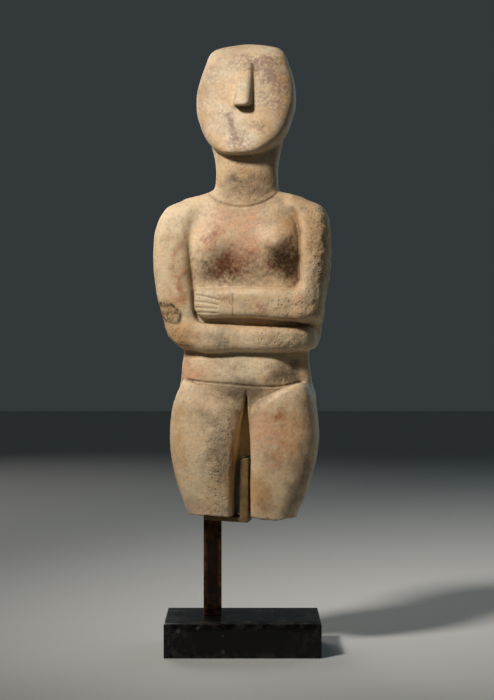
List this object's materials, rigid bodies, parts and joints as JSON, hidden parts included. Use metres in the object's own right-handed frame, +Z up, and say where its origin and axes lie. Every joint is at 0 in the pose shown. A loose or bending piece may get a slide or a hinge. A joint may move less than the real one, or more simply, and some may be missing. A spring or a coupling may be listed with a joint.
{
  "type": "cycladic marble figurine on a stand",
  "caption": "Folded-arm marble figurine in the Cycladic manner, broken off above the knees, held upright over a black block by a square post and an ivory bracket.",
  "frame": {"origin": "centre of the stand block's underside", "axes": "+Z up along the figure, -Y towards the side the figure faces, +X to the right as seen from the front"},
  "size_m": [0.0921, 0.05, 0.3155],
  "materials": {
    "marble": "weathered satin with earth stains, pits and eroded patches",
    "ivory_paint": "matt ivory paint",
    "dark_bronze": "dark brown polished patina",
    "black_polish": "polished black"
  },
  "bodies": {
    "root": {"marble_figure": "marble", "mount_cradle": "ivory_paint", "mount_post": "dark_bronze", "stand_base": "black_polish"}
  },
  "joints": []
}
